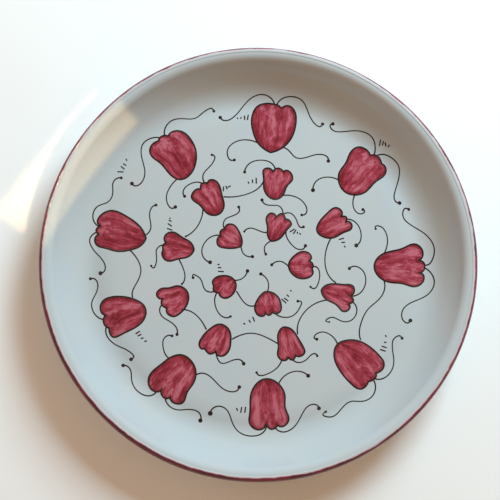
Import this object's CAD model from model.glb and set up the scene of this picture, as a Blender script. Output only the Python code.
import math

import bmesh
import bpy
import numpy as np
from mathutils import Matrix, Vector, noise
from mathutils.geometry import delaunay_2d_cdt


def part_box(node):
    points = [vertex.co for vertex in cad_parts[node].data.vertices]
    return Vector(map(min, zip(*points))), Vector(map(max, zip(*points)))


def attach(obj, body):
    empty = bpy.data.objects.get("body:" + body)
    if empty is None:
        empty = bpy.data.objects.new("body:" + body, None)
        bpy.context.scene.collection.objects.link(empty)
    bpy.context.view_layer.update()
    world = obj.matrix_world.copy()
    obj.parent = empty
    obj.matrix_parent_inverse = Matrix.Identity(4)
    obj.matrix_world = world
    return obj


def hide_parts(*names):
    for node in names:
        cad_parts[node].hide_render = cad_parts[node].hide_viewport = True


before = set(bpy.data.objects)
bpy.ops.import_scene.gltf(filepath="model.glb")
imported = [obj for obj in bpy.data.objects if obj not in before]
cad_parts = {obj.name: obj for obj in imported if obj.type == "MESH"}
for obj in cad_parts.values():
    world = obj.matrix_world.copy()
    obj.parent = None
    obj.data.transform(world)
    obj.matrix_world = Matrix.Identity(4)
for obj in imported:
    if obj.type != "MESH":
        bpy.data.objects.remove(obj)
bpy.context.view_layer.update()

# ---------------------------------------------------------------- sizes
# Lengths are in metres and angles in degrees, unless a comment says otherwise
MM = 0.001
TINY = 1e-9

# Read from the frame
PLATE_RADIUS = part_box("glaze_face")[1].x
PLATE_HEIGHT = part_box("glaze_face")[1].z
FLOOR_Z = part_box("inner_tulip_1_petals")[0].z
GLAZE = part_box("glaze_face")[1].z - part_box("clay_body")[1].z
GLAZE_LOW_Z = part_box("glaze_face")[0].z
RECESS_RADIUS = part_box("glaze_underside")[1].x
RECESS_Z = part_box("glaze_underside")[1].z - GLAZE

# The foot ring. The last two are in thicknesses of the glaze: how thick its lower edge is, and
# how deep under its surface the clay lies, so that the two share no face
FOOT_RADIUS = RECESS_RADIUS + 9 * MM
FOOT_ROUNDING = 1.2 * MM
RECESS_ROUNDING = 1.5 * MM
UNDERSIDE_SLOPE = 4
GLAZE_EDGE = 0.8
CLAY_INSET = 1.02

# The turned profile: arcs that follow each other smoothly, each with the heading in degrees
# that it ends at, its radius, and 1 where it bulges out of the plate or -1 where it hollows
FLOOR_FLAT_RADIUS = PLATE_RADIUS - 53.06 * MM
LIP_OUTER = 3.5 * MM
FACE_TURNS = (
    (-10, 70 * MM, 1),
    (42, 22 * MM, -1),
    (62, 55.2 * MM, -1),
    (0, 8 * MM, 1),
    (-90, LIP_OUTER, 1),
)
WALL_TURNS = (
    (-118, LIP_OUTER, 1),
    (-138, 62.2 * MM, 1),
    (-176, 29 * MM, 1),
)

# All the painting on the inside of the plate lies within this radius
PAINTED_RADIUS = PLATE_RADIUS - 20 * MM

# Unevenness of the throwing: waves round the pot as (size in mm, how many, start in radians)
WANDER_WAVES = ((0.14, 2, 0.6), (0.10, 3, 2.1), (0.08, 5, 4.0), (0.05, 9, 1.3))
WANDER_SHRINK = 0.3
RISE_WAVES = ((0.18, 2, 3.4), (0.12, 4, 0.9))
RISE_SHRINK = 0.42
UNEVEN_FROM = 110 * MM
UNEVEN_RUN = 50 * MM

# How finely the pot is turned
STEPS_ROUND = 360
ARC_STEP = 1.1 * MM
ARC_DEGREES = 6
FLOOR_STEP = 2 * MM
CLAY_FLOOR_STEP = 8 * MM
RECESS_STEPS = 40
ROUNDING_STEPS = (0, 30, 60, 90)

# Outlines from the CAD: points nearer than MERGE are one, and what stands higher on the glaze
# than PAINT_MIDDLE belongs to the top of the paint
MERGE = 0.004 * MM
PAINT_MIDDLE = 0.05 * MM

# Films of paint: each reaches down into the glaze by SINK, so no gap shows under its edge
SINK = 0.06 * MM
INK_LOW = 0.035 * MM
INK_HEIGHT = 0.075 * MM
INK_SHOULDER = 0.2 * MM
INK_STEP = 0.4 * MM
INK_GRID = 0.42 * MM
INK_GRID_GAP = 0.16 * MM
BRUSH_SPREAD = 0.06 * MM
PETAL_HEIGHT = 0.03 * MM
PETAL_SUNK = 0.01 * MM
PETAL_STEP = 0.8 * MM
PETAL_GRID = 0.6 * MM
PETAL_REACH = 0.9 * MM
HALO = 1.5 * MM

# The sides of a flower are measured at several places along its length, each time over a
# short reach; the places and the reach are shares of the length
SIDE_PLACES = 15
SIDE_FIRST = 0.08
SIDE_LAST = 0.9
SIDE_REACH = 0.07

# Streaks and specks: the streaks are stretched along the flower, bend with its edge, and shift
# from one flower to the next
STREAK_STRETCH = 0.4
STREAK_BEND = 0.035
FLOWER_SHIFT = 3.7
SPECKS_PER_METRE = 95
COAT_ROUGHNESS = 0.12

# The band on the lip. Its ragged inner edge is a circle a little off the plate's axis, and
# BAND_FULL and BAND_WOBBLE are depths into the band in mm
BAND_INNER_RADIUS = 155.6 * MM
BAND_DROP = 4.6 * MM
BAND_HEIGHT = 0.1 * MM
BAND_THIN_STEPS = 4
BAND_OFF_CENTRE = (0.25 * MM, 0.65 * MM)
BAND_EDGE_RADIUS = 157.3 * MM
BAND_FULL_RADIUS = 159.2 * MM
BAND_SIDE_RADIUS = 157 * MM
BAND_SIDE_DROP = 1.2 * MM
BAND_FULL = 2.0
BAND_WOBBLE = 0.5
BAND_WOBBLES_PER_METRE = 60
BAND_WOBBLE_SEED = 3.7

# The stage
TABLE_SIZE = 6
WORLD_COLOUR = (1.0, 0.65, 0.41, 1)
WORLD_STRENGTH = 0.45
CAMERA_AZIMUTH = -10.8
CAMERA_ELEVATION = 81.3
CAMERA_LENS = 79.2
CAMERA_SENSOR = 36
CAMERA_DISTANCE = 0.8222
CAMERA_TARGET = (-6.15 * MM, 9.4 * MM, FLOOR_Z)


# ---------------------------------------------------------------- shape of the pot
def arc_points(start, heading, turns, inset):
    """Points along arcs that follow each other; a convex arc loses the inset."""
    points = [start]
    for new_heading, full_radius, convex in turns:
        radius = full_radius - inset * convex
        side = 1 if new_heading > heading else -1
        turn = math.radians(heading)
        centre = (points[-1][0] - side * radius * math.sin(turn),
                  points[-1][1] + side * radius * math.cos(turn))
        degrees = abs(new_heading - heading)
        by_length = round(full_radius * math.radians(degrees) / ARC_STEP)
        steps = max(by_length, round(degrees / ARC_DEGREES))
        for step in range(1, steps + 1):
            turn = math.radians(heading + (new_heading - heading) * step / steps)
            points.append((centre[0] + side * radius * math.sin(turn),
                           centre[1] - side * radius * math.cos(turn)))
        heading = new_heading
    return points


def floor_points(end_radius, height, step):
    """Points along the level floor, from the axis up to the end radius, which is left out."""
    count = max(1, round(end_radius / step))
    return [(end_radius * i / count, height) for i in range(count)]


def face_profile(inset, floor_step):
    """Profile from the centre of the floor over the lip to the foot ring."""
    floor_z = FLOOR_Z - inset
    start = (FLOOR_FLAT_RADIUS, floor_z)
    points = floor_points(FLOOR_FLAT_RADIUS, floor_z, floor_step)
    points += arc_points(start, 0, FACE_TURNS + WALL_TURNS, inset)
    end_radius, end_z = points[-1]
    foot_radius = FOOT_RADIUS - inset
    root_z = end_z - (end_radius - foot_radius) * math.tan(math.radians(UNDERSIDE_SLOPE))
    count = round((end_radius - foot_radius) / ARC_STEP)
    for i in range(1, count + 1):
        share = i / count
        points.append((end_radius + (foot_radius - end_radius) * share, end_z + (root_z - end_z) * share))
    return points


FACE_CURVE = face_profile(0, FLOOR_STEP)
PAINTED_END = next(i for i, (radius, height) in enumerate(FACE_CURVE) if radius > PAINTED_RADIUS)
INNER_FACE = np.array(FACE_CURVE[:PAINTED_END])


def waves(table, turn):
    """Sum of several waves in mm, at a turn round the pot in radians."""
    return sum(size * math.sin(count * turn + start) for size, count, start in table)


def thrown(radius, turn, height):
    """Slight unevenness of a hand-thrown pot: the wall wanders, the lip rises and dips."""
    wall = max(0.0, min(1.0, (radius - UNEVEN_FROM) / UNEVEN_RUN))
    wander = waves(WANDER_WAVES, turn) - WANDER_SHRINK
    rise = waves(RISE_WAVES, turn) - RISE_SHRINK
    lift = wall * wall * max(0.0, (height - FLOOR_Z) / (PLATE_HEIGHT - FLOOR_Z))
    return radius + wander * MM * wall, height + rise * MM * lift


def placed(radius, turn, height):
    """Point of the pot at a turn round its axis, unevenness included."""
    radius, height = thrown(radius, turn, height)
    return radius * math.cos(turn), radius * math.sin(turn), height


def surface_z(radius):
    """Height of the glaze on the upper side, at a radius within the painted one."""
    return float(np.interp(radius, INNER_FACE[:, 0], INNER_FACE[:, 1]))


# ---------------------------------------------------------------- meshes
def add_object(name, mesh, material, node):
    """Put a mesh in the scene as a piece on the root body, in place of a CAD node."""
    piece = bpy.data.objects.new(name, mesh)
    bpy.context.scene.collection.objects.link(piece)
    piece.data.materials.append(material)
    for polygon in piece.data.polygons:
        polygon.use_smooth = True
    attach(piece, "root")
    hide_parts(node)
    return piece


def joining_faces(here, there):
    """Faces between two rings of points, either of which may be a single point on the axis."""
    if len(here) == 1 and len(there) == 1:
        return []
    faces = []
    for i in range(STEPS_ROUND):
        j = (i + 1) % STEPS_ROUND
        if len(here) == 1:
            faces.append((here[0], there[i], there[j]))
        elif len(there) == 1:
            faces.append((here[i], there[0], here[j]))
        else:
            faces.append((here[i], there[i], there[j], here[j]))
    return faces


def turned_mesh(name, profile):
    """Closed solid from a closed half profile (radius, height) turned round the axis."""
    verts, rings = [], []
    for radius, height in profile:
        if radius < TINY:
            rings.append([len(verts)])
            verts.append((0, 0, height))
            continue
        rings.append(list(range(len(verts), len(verts) + STEPS_ROUND)))
        for i in range(STEPS_ROUND):
            verts.append(placed(radius, 2 * math.pi * i / STEPS_ROUND, height))
    faces = []
    for here, there in zip(rings, rings[1:] + rings[:1]):
        faces += joining_faces(here, there)
    mesh = bpy.data.meshes.new(name)
    mesh.from_pydata(verts, [], faces)
    mesh.validate()
    mesh.update()
    return mesh


def face_turned_out(mesh):
    """Make the outside of a closed mesh its front."""
    work = bmesh.new()
    work.from_mesh(mesh)
    bmesh.ops.recalc_face_normals(work, faces=work.faces)
    work.to_mesh(mesh)
    work.free()
    return mesh


def top_border(work):
    """For each point on the border of a painted node's top, the points that follow it."""
    on_top = {v for v in work.verts if v.co.z - surface_z(math.hypot(v.co.x, v.co.y)) > PAINT_MIDDLE}
    follow = {}
    for edge in work.edges:
        tops = [face for face in edge.link_faces if all(v in on_top for v in face.verts)]
        if len(tops) == 1:
            for loop in tops[0].loops:
                if loop.edge == edge:
                    follow.setdefault(loop.vert, []).append(loop.link_loop_next.vert)
    return follow


def cad_outline(node):
    """Outlines of a painted CAD node seen from above, as arrays of (x, y)."""
    work = bmesh.new()
    work.from_mesh(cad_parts[node].data)
    bmesh.ops.remove_doubles(work, verts=work.verts, dist=MERGE)
    follow = top_border(work)
    loops = []
    while follow:
        here = start = next(iter(follow))
        loop = []
        while here in follow:
            loop.append((here.co.x, here.co.y))
            there = follow[here].pop()
            if not follow[here]:
                del follow[here]
            here = there
            if here == start:
                break
        if len(loop) > 2:
            loops.append(np.array(loop))
    work.free()
    return loops


def spaced(loop, step):
    """The loop with points no further apart than the step."""
    points = []
    for a, b in zip(loop, np.roll(loop, -1, axis=0)):
        pieces = max(1, math.ceil(np.linalg.norm(b - a) / step))
        for i in range(pieces):
            points.append(a + (b - a) * i / pieces)
    return np.array(points)


def widened(loop, distance):
    """The loop moved sideways, out of the shape that lies on its left."""
    run = np.roll(loop, -1, axis=0) - np.roll(loop, 1, axis=0)
    length = np.maximum(np.hypot(run[:, 0], run[:, 1]), TINY)
    return loop + np.column_stack([run[:, 1], -run[:, 0]]) / length[:, None] * distance


def inside(points, loops):
    """True for each point that lies inside the loops, holes left out."""
    result = np.zeros(len(points), bool)
    for loop in loops:
        ends = np.roll(loop, -1, axis=0)
        for (ax, ay), (bx, by) in zip(loop, ends):
            crosses = (ay > points[:, 1]) != (by > points[:, 1])
            if ay != by:
                at = (bx - ax) * (points[:, 1] - ay) / (by - ay) + ax
                result ^= crosses & (points[:, 0] < at)
    return result


def gap_to(points, loops):
    """Distance from each point to the nearest loop, measured to its segments."""
    best = np.full(len(points), np.inf)
    for loop in loops:
        ends = np.roll(loop, -1, axis=0)
        for a, b in zip(loop, ends):
            run = b - a
            length2 = float(run @ run)
            if length2 < TINY ** 2:
                continue
            share = np.clip(((points - a) @ run) / length2, 0, 1)
            best = np.minimum(best, np.hypot(*(points - a - share[:, None] * run).T))
    return best


def hexagonal_grid(low, high, step):
    """Points of a triangular grid over a box."""
    rows = np.arange(low[1], high[1], step * math.sqrt(3) / 2)
    points = []
    for i, y in enumerate(rows):
        xs = np.arange(low[0] + (i % 2) * step / 2, high[0], step)
        points.append(np.column_stack([xs, np.full(len(xs), y)]))
    return np.concatenate(points)


def triangulated(points, borders):
    """Triangles between flat points, with the borders kept as edges."""
    flat, _, triangles, _, _, _ = delaunay_2d_cdt([Vector(p) for p in points], borders, [], 0, TINY)
    return np.array([tuple(p) for p in flat]), triangles


def film_mesh(name, flat, triangles, heights, attributes):
    """Closed thin film on the glaze: a shaped top and a bottom sunk into the glaze."""
    verts = []
    for level in (heights, np.full(len(flat), -SINK)):
        for (x, y), height in zip(flat, level):
            radius = math.hypot(x, y)
            turn = math.atan2(y, x)
            verts.append(placed(radius, turn, surface_z(radius) + height))
    count = len(flat)
    faces = [tuple(t) for t in triangles]
    edges = {}
    for a, b, c in faces:
        for edge in ((a, b), (b, c), (c, a)):
            edges[edge] = True
    sides = [(b, a, a + count, b + count) for a, b in edges if (b, a) not in edges]
    faces += [(c + count, b + count, a + count) for a, b, c in faces] + sides
    mesh = bpy.data.meshes.new(name)
    mesh.from_pydata(verts, [], faces)
    for key, values in attributes.items():
        layer = mesh.attributes.new(key, "FLOAT", "POINT")
        layer.data.foreach_set("value", np.concatenate([values, values]).astype(np.float32))
    mesh.update()
    rim = {frozenset(edge) for edge in edges if edge[::-1] not in edges}
    for edge in mesh.edges:
        edge.use_edge_sharp = frozenset(edge.vertices) in rim
    return mesh


def ink_mesh(name, node):
    """The brush lines of a CAD ink node, with rounded shoulders and a soft edge."""
    loops = [widened(spaced(loop, INK_STEP), BRUSH_SPREAD) for loop in cad_outline(node)]
    corner = np.concatenate(loops)
    grid = hexagonal_grid(corner.min(0), corner.max(0), INK_GRID)
    grid = grid[inside(grid, loops)]
    grid = grid[gap_to(grid, loops) > INK_GRID_GAP]
    borders, start = [], 0
    for loop in loops:
        count = len(loop)
        borders += [(start + i, start + (i + 1) % count) for i in range(count)]
        start += count
    flat, triangles = triangulated(np.concatenate([corner, grid]), borders)
    middles = np.array([flat[list(t)].mean(0) for t in triangles])
    keep = inside(middles, loops)
    triangles = [t for t, kept in zip(triangles, keep) if kept]
    gap = gap_to(flat, loops)
    gap[:len(corner)] = 0
    lift = np.clip(gap / INK_SHOULDER, 0, 1)
    heights = INK_LOW + (INK_HEIGHT - INK_LOW) * lift * (2 - lift)
    return film_mesh(name, flat, triangles, heights, {"depth": lift})


def longest_side(flat, triangle):
    """Length of the longest side of a triangle."""
    return max(np.linalg.norm(flat[triangle[i]] - flat[triangle[i - 1]]) for i in range(3))


def petal_sides(corner, outward, low, high, share):
    """Left and right limit of a flower at each share of its length."""
    sideways = np.array([-outward[1], outward[0]])
    places = np.linspace(0, 1, SIDE_PLACES)
    at = ((corner @ outward) - low) / (high - low)
    off = corner @ sideways
    left, right = [], []
    for place in places:
        near = np.abs(at - np.clip(place, SIDE_FIRST, SIDE_LAST)) < SIDE_REACH
        left.append(off[near].min())
        right.append(off[near].max())
    return np.interp(share, places, left), np.interp(share, places, right)


def petal_mesh(name, node, flower):
    """A tulip's wash of colour, which runs out under the ink and a little past it."""
    loops = [spaced(loop, PETAL_STEP) for loop in cad_outline(node)]
    corner = np.concatenate(loops)
    margin = HALO + PETAL_GRID
    grid = hexagonal_grid(corner.min(0) - margin, corner.max(0) + margin, PETAL_GRID)
    within = inside(grid, loops)
    gap = gap_to(grid, loops)
    signed = np.where(within, -gap, gap)
    grid, signed = grid[signed < margin], signed[signed < margin]
    flat, triangles = triangulated(grid, [])
    triangles = [t for t in triangles if longest_side(flat, t) < PETAL_REACH]
    centre = corner.mean(0)
    outward = centre / np.linalg.norm(centre)
    along = (flat - centre) @ outward
    across = (flat - centre) @ np.array([-outward[1], outward[0]])
    low, high = ((corner - centre) @ outward).min(), ((corner - centre) @ outward).max()
    share = np.clip((along - low) / (high - low), 0, 1)
    side_low, side_high = petal_sides(corner - centre, outward, low, high, share)
    width = (across - side_low) / (side_high - side_low) * 2 - 1
    fade = np.clip(1 - signed / HALO, 0, 1)
    heights = np.where(fade > 0, PETAL_HEIGHT * fade ** 0.5, -PETAL_SUNK)
    attributes = {"along": share, "across": width, "edge": signed / MM,
                  "flower": np.full(len(flat), flower)}
    return film_mesh(name, flat, triangles, heights, attributes)


# ---------------------------------------------------------------- node helpers
def linear(red, green, blue):
    """Shader colour from the usual 0 to 255 screen values."""
    parts = [v / 255 for v in (red, green, blue)]
    return tuple(p / 12.92 if p <= 0.04045 else ((p + 0.055) / 1.055) ** 2.4 for p in parts) + (1,)


def new_material(name, roughness, coat=0.0):
    """A material with one principled shader; gives back the material, its node tree and the shader."""
    material = bpy.data.materials.new(name)
    material.use_nodes = True
    tree = material.node_tree
    shader = tree.nodes["Principled BSDF"]
    shader.inputs["Roughness"].default_value = roughness
    shader.inputs["Coat Weight"].default_value = coat
    shader.inputs["Coat Roughness"].default_value = COAT_ROUGHNESS
    return material, tree, shader


def put(tree, socket, value):
    """Link a socket's value, or set a plain one."""
    if isinstance(value, bpy.types.NodeSocket):
        tree.links.new(value, socket)
    else:
        socket.default_value = value


def place_on_object(tree):
    """Position on the object in metres."""
    return tree.nodes.new("ShaderNodeTexCoord").outputs["Object"]


def clouds(tree, scale, detail=4, vector=None, roughness=0.55):
    """Cloudy noise, about 0.3 to 0.7; the scale is clouds per metre unless a vector is given."""
    node = tree.nodes.new("ShaderNodeTexNoise")
    node.inputs["Scale"].default_value = scale
    node.inputs["Detail"].default_value = detail
    node.inputs["Roughness"].default_value = roughness
    tree.links.new(vector or place_on_object(tree), node.inputs["Vector"])
    return node.outputs["Fac"]


def attribute(tree, name):
    """A number stored on the mesh's points."""
    node = tree.nodes.new("ShaderNodeAttribute")
    node.attribute_name = name
    return node.outputs["Fac"]


def ramped(tree, value, low, high, to_low=0.0, to_high=1.0):
    """The value as it goes from low to high, turned into to_low to to_high and held there."""
    node = tree.nodes.new("ShaderNodeMapRange")
    for key, number in (("From Min", low), ("From Max", high), ("To Min", to_low), ("To Max", to_high)):
        node.inputs[key].default_value = number
    put(tree, node.inputs["Value"], value)
    return node.outputs["Result"]


def arithmetic(tree, operation, first, second):
    """Arithmetic on two values."""
    node = tree.nodes.new("ShaderNodeMath")
    node.operation = operation
    put(tree, node.inputs[0], first)
    put(tree, node.inputs[1], second)
    return node.outputs["Value"]


def mixed(tree, share, first, second):
    """The first colour going over to the second by the share."""
    node = tree.nodes.new("ShaderNodeMix")
    node.data_type = "RGBA"
    put(tree, node.inputs["Factor"], share)
    put(tree, node.inputs[6], first)
    put(tree, node.inputs[7], second)
    return node.outputs[2]


def bumped(tree, shader, height, depth):
    """Fine surface relief, depth in metres."""
    node = tree.nodes.new("ShaderNodeBump")
    node.inputs["Distance"].default_value = depth
    tree.links.new(height, node.inputs["Height"])
    tree.links.new(node.outputs["Normal"], shader.inputs["Normal"])


# ---------------------------------------------------------------- materials
GLAZE_COOL = linear(187, 196, 201)
GLAZE_WARM = linear(190, 196, 198)
GLAZE_SPECK = linear(120, 108, 92)
PETAL_LIGHT = linear(190, 102, 118)
PETAL_MID = linear(158, 50, 72)
PETAL_DARK = linear(118, 14, 36)
PETAL_HALO = linear(214, 172, 178)
INK_BLACK = linear(22, 18, 20)
INK_MAROON = linear(48, 18, 26)
INK_THIN = linear(40, 26, 32)
INK_DRY = linear(58, 66, 64)
BAND_DEEP = linear(84, 28, 48)
BAND_BRIGHT = linear(122, 42, 66)
CLAY_RED = linear(168, 104, 74)
CLAY_PALE = linear(196, 140, 106)
TABLE_PALE = linear(250, 250, 250)
TABLE_SHADE = linear(246, 246, 246)


def glaze_colour(tree):
    """White tin glaze: faint warm and cool clouds, and a few iron specks."""
    tint = ramped(tree, clouds(tree, 28, 3), 0.35, 0.65)
    colour = mixed(tree, tint, GLAZE_COOL, GLAZE_WARM)
    cells = tree.nodes.new("ShaderNodeTexVoronoi")
    cells.inputs["Scale"].default_value = SPECKS_PER_METRE
    tree.links.new(place_on_object(tree), cells.inputs["Vector"])
    speck = ramped(tree, cells.outputs["Distance"], 0.045, 0.02)
    some = ramped(tree, clouds(tree, 60, 1), 0.6, 0.63, 0, 0.7)
    return mixed(tree, arithmetic(tree, "MULTIPLY", speck, some), colour, GLAZE_SPECK)


def make_glaze(name):
    """Glossy white glaze with the slight swell of a brushed or poured coat."""
    material, tree, shader = new_material(name, 0.2, 0.35)
    put(tree, shader.inputs["Base Color"], glaze_colour(tree))
    put(tree, shader.inputs["Roughness"], ramped(tree, clouds(tree, 40, 3), 0.35, 0.65, 0.21, 0.25))
    bumped(tree, shader, clouds(tree, 130, 3), 0.06 * MM)
    return material


def brush_direction(tree, along, across, edge):
    """Texture vector that is stretched along the flower and differs from flower to flower."""
    brush = tree.nodes.new("ShaderNodeCombineXYZ")
    bend = arithmetic(tree, "MULTIPLY", edge, STREAK_BEND)
    put(tree, brush.inputs["X"], across)
    put(tree, brush.inputs["Y"], arithmetic(tree, "MULTIPLY", along, STREAK_STRETCH))
    put(tree, brush.inputs["Z"], arithmetic(tree, "ADD", attribute(tree, "flower"), bend))
    return brush.outputs["Vector"]


def make_petal(name):
    """Crimson brushed in streaks that run from the base of the flower to its tips."""
    material, tree, shader = new_material(name, 0.2, 0.4)
    along, across, edge = (attribute(tree, key) for key in ("along", "across", "edge"))
    brush = brush_direction(tree, along, across, edge)
    streak = clouds(tree, 2.6, 2, brush)
    hairs = clouds(tree, 11, 4, brush, 0.65)
    blotch = clouds(tree, 150, 4)
    base = ramped(tree, along, 0.0, 0.35, 0.13, 0.0)
    pooled = ramped(tree, edge, -1.7, -0.5, 0.0, 0.1)
    depth = arithmetic(tree, "ADD", arithmetic(tree, "ADD", streak, base), pooled)
    for part, weight in ((hairs, 0.75), (blotch, 0.45)):
        swing = arithmetic(tree, "SUBTRACT", part, 0.5)
        depth = arithmetic(tree, "ADD", depth, arithmetic(tree, "MULTIPLY", swing, weight))
    colour = mixed(tree, ramped(tree, depth, 0.34, 0.53), PETAL_LIGHT, PETAL_MID)
    colour = mixed(tree, ramped(tree, depth, 0.54, 0.74), colour, PETAL_DARK)
    ragged = arithmetic(tree, "ADD", edge, ramped(tree, clouds(tree, 420, 3), 0.3, 0.7, -0.35, 0.35))
    colour = mixed(tree, ramped(tree, ragged, -0.1, 0.65), colour, PETAL_HALO)
    colour = mixed(tree, ramped(tree, ragged, 0.3, 1.35), colour, glaze_colour(tree))
    put(tree, shader.inputs["Base Color"], colour)
    bumped(tree, shader, streak, 0.04 * MM)
    return material


def make_ink(name):
    """Black brush ink: dense where the brush was full, brownish and thin at the edges."""
    material, tree, shader = new_material(name, 0.35, 0.15)
    depth = attribute(tree, "depth")
    colour = mixed(tree, ramped(tree, clouds(tree, 90, 4), 0.45, 0.68), INK_BLACK, INK_MAROON)
    colour = mixed(tree, ramped(tree, clouds(tree, 24, 2), 0.54, 0.68, 0, 0.45), colour, INK_DRY)
    thin = ramped(tree, depth, 0.4, 0.0, 0, 0.5)
    put(tree, shader.inputs["Base Color"], mixed(tree, thin, colour, INK_THIN))
    bumped(tree, shader, clouds(tree, 500, 3), 0.03 * MM)
    return material


def make_band(name):
    """Burgundy band that runs pink and thin over its inner edge."""
    material, tree, shader = new_material(name, 0.22, 0.4)
    into = attribute(tree, "into")
    ragged = arithmetic(tree, "ADD", into, ramped(tree, clouds(tree, 160, 4), 0.3, 0.7, -0.35, 0.35))
    body = mixed(tree, ramped(tree, clouds(tree, 60, 4), 0.38, 0.62), BAND_DEEP, BAND_BRIGHT)
    colour = mixed(tree, ramped(tree, ragged, -0.1, 0.5), PETAL_HALO, body)
    colour = mixed(tree, ramped(tree, ragged, -0.6, -0.05), glaze_colour(tree), colour)
    put(tree, shader.inputs["Base Color"], colour)
    bumped(tree, shader, clouds(tree, 300, 3), 0.04 * MM)
    return material


def make_clay(name):
    """Bare fired red clay on the foot, slightly gritty."""
    material, tree, shader = new_material(name, 0.82)
    grain = ramped(tree, clouds(tree, 260, 6), 0.35, 0.65)
    put(tree, shader.inputs["Base Color"], mixed(tree, grain, CLAY_RED, CLAY_PALE))
    bumped(tree, shader, clouds(tree, 900, 5), 0.12 * MM)
    return material


def make_floor(name):
    """Pale matt table."""
    material, tree, shader = new_material(name, 0.7)
    put(tree, shader.inputs["Base Color"], mixed(tree, clouds(tree, 6, 2), TABLE_PALE, TABLE_SHADE))
    shader.inputs["Specular IOR Level"].default_value = 0.1
    return material


glaze = make_glaze("white_glaze")
petal = make_petal("crimson_paint")
ink = make_ink("black_ink")
band = make_band("burgundy_band")
clay = make_clay("fired_clay")


# ---------------------------------------------------------------- the pot
def quarter_round(centre, size, first_angle):
    """Points (radius, height) of a quarter circle, from an angle in degrees to one 90 less."""
    turns = [math.radians(first_angle - step) for step in ROUNDING_STEPS]
    return [(centre[0] + size * math.cos(turn), centre[1] + size * math.sin(turn)) for turn in turns]


def glaze_face_piece():
    """Glaze from the floor over the lip and down to just above the foot."""
    outer = face_profile(0, FLOOR_STEP)
    foot = [(FOOT_RADIUS, GLAZE_LOW_Z), (FOOT_RADIUS - GLAZE * GLAZE_EDGE, GLAZE_LOW_Z)]
    inner = face_profile(GLAZE, FLOOR_STEP)
    mesh = face_turned_out(turned_mesh("glaze_face_fine", outer + foot + inner[::-1]))
    return add_object("glaze_face_fine", mesh, glaze, "glaze_face")


def clay_piece():
    """The thrown clay with its foot ring."""
    outer = face_profile(GLAZE * CLAY_INSET, CLAY_FLOOR_STEP)
    edge = FOOT_ROUNDING
    outer_foot = FOOT_RADIUS - GLAZE
    inner_foot = RECESS_RADIUS + GLAZE
    foot = [(outer_foot, GLAZE_LOW_Z)]
    foot += quarter_round((outer_foot - edge, edge), edge, 0)
    foot += quarter_round((inner_foot + edge, edge), edge, -90)
    recess = [(inner_foot, RECESS_Z + GLAZE), (0, RECESS_Z + GLAZE)]
    mesh = face_turned_out(turned_mesh("clay_body_fine", outer + foot + recess))
    return add_object("clay_body_fine", mesh, clay, "clay_body")


def underside_piece():
    """Glaze inside the foot ring."""
    radius = RECESS_RADIUS
    top = RECESS_Z + GLAZE
    edge = RECESS_ROUNDING
    outside = radius + GLAZE * GLAZE_EDGE
    ceiling = [(radius * i / RECESS_STEPS, RECESS_Z) for i in range(RECESS_STEPS)]
    corner = quarter_round((radius - edge, RECESS_Z - edge), edge, 90)
    profile = ceiling + corner + [(radius, GLAZE_LOW_Z), (outside, GLAZE_LOW_Z), (outside, top), (0, top)]
    mesh = face_turned_out(turned_mesh("glaze_underside_fine", profile))
    return add_object("glaze_underside_fine", mesh, glaze, "glaze_underside")


def depth_into_band(point):
    """How far a point lies into the painted band, in mm from its ragged inner edge."""
    off = math.hypot(point.x - BAND_OFF_CENTRE[0], point.y - BAND_OFF_CENTRE[1])
    on_side = point.z < PLATE_HEIGHT - BAND_SIDE_DROP and off > BAND_SIDE_RADIUS
    if off > BAND_FULL_RADIUS or on_side:
        return BAND_FULL
    per_metre = BAND_WOBBLES_PER_METRE
    wobble = noise.noise(Vector((point.x * per_metre, point.y * per_metre, BAND_WOBBLE_SEED)))
    return (off - BAND_EDGE_RADIUS) / MM + BAND_WOBBLE * wobble


def band_piece():
    """Painted band over the lip, laid on the glaze and thinned out at both edges."""
    on_glaze = face_profile(0, FLOOR_STEP)
    raised = face_profile(-BAND_HEIGHT, FLOOR_STEP)
    sunk = face_profile(SINK, FLOOR_STEP)
    lip = [i for i, (radius, height) in enumerate(on_glaze)
           if radius > BAND_INNER_RADIUS and height > PLATE_HEIGHT - BAND_DROP]
    top = []
    for place, i in enumerate(lip):
        share = min(1, place / BAND_THIN_STEPS, (len(lip) - 1 - place) / BAND_THIN_STEPS)
        low, high = on_glaze[i], raised[i]
        top.append((low[0] + (high[0] - low[0]) * share, low[1] + (high[1] - low[1]) * share))
    bottom = [sunk[i] for i in lip]
    mesh = turned_mesh("rim_band_fine", top + bottom[::-1])
    layer = mesh.attributes.new("into", "FLOAT", "POINT")
    layer.data.foreach_set("value", [depth_into_band(vert.co) for vert in mesh.vertices])
    return add_object("rim_band_fine", face_turned_out(mesh), band, "rim_band")


glaze_face_piece()
clay_piece()
underside_piece()
band_piece()


# ---------------------------------------------------------------- the painting
for number, node in enumerate(sorted(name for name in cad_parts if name.endswith("_petals"))):
    wash = petal_mesh(node + "_wash", node, number * FLOWER_SHIFT)
    add_object(node + "_wash", wash, petal, node)

for node in sorted(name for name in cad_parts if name.endswith("_ink") or name == "dash_marks"):
    add_object(node + "_line", ink_mesh(node + "_line", node), ink, node)


# ---------------------------------------------------------------- table, light, camera
def make_table():
    """Large pale table top."""
    bpy.ops.mesh.primitive_plane_add(size=TABLE_SIZE)
    table = bpy.context.object
    table.name = "table_top"
    table.data.materials.append(make_floor("table_paint"))


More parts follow.
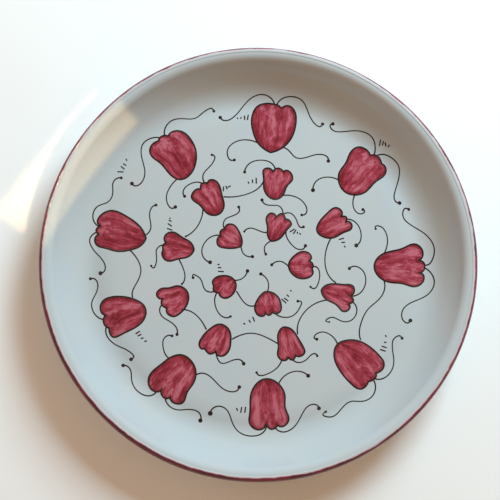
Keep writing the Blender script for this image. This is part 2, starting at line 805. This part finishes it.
def add_light(name, azimuth, elevation, distance, size, power, colour, target=(0, 0, 0), spread=180):
    """Area light aimed at a target from a direction in degrees."""
    lamp = bpy.data.lights.new(name, "AREA")
    lamp.shape = "RECTANGLE"
    lamp.size, lamp.size_y = size
    lamp.energy = power
    lamp.color = colour
    lamp.spread = math.radians(spread)
    thing = bpy.data.objects.new(name, lamp)
    turn, lift = math.radians(azimuth), math.radians(elevation)
    way = Vector((math.cos(turn) * math.cos(lift), math.sin(turn) * math.cos(lift), math.sin(lift)))
    thing.location = Vector(target) + way * distance
    thing.rotation_euler = way.to_track_quat("Z", "Y").to_euler()
    thing.visible_camera = False
    thing.visible_glossy = False
    bpy.context.scene.collection.objects.link(thing)


def make_world():
    """Dim warm light from all round."""
    world = bpy.data.worlds.new("room")
    world.use_nodes = True
    background = world.node_tree.nodes["Background"]
    background.inputs["Color"].default_value = WORLD_COLOUR
    background.inputs["Strength"].default_value = WORLD_STRENGTH
    bpy.context.scene.world = world


def make_camera():
    """Camera above the near side of the plate."""
    azimuth, elevation = math.radians(CAMERA_AZIMUTH), math.radians(CAMERA_ELEVATION)
    back = Vector((math.sin(azimuth) * math.cos(elevation), -math.cos(azimuth) * math.cos(elevation),
                   math.sin(elevation)))
    right = (-back).cross(Vector((0, 1, 0))).normalized()
    up = back.cross(right)
    lens = bpy.data.cameras.new("camera")
    lens.lens = CAMERA_LENS
    lens.sensor_width = CAMERA_SENSOR
    camera = bpy.data.objects.new("camera", lens)
    place = Vector(CAMERA_TARGET) + back * CAMERA_DISTANCE
    camera.matrix_world = Matrix.Translation(place) @ Matrix((right, up, back)).transposed().to_4x4()
    bpy.context.scene.collection.objects.link(camera)
    bpy.context.scene.camera = camera


make_table()
make_world()
add_light("window", azimuth=58, elevation=37, distance=1.6, size=(0.7, 0.7), power=34,
          colour=(0.62, 0.87, 0.98))
add_light("far_window", azimuth=160, elevation=18, distance=1.6, size=(0.6, 0.6), power=3.5,
          colour=(0.75, 0.92, 1.0))
add_light("low_sun", azimuth=-39.3, elevation=58, distance=0.3, size=(0.118, 0.027), power=0.0054,
          colour=(1.0, 0.68, 0.32), target=(-0.1345, 0.0655, 0.03), spread=2)
make_camera()
bpy.context.scene.view_settings.view_transform = "Standard"
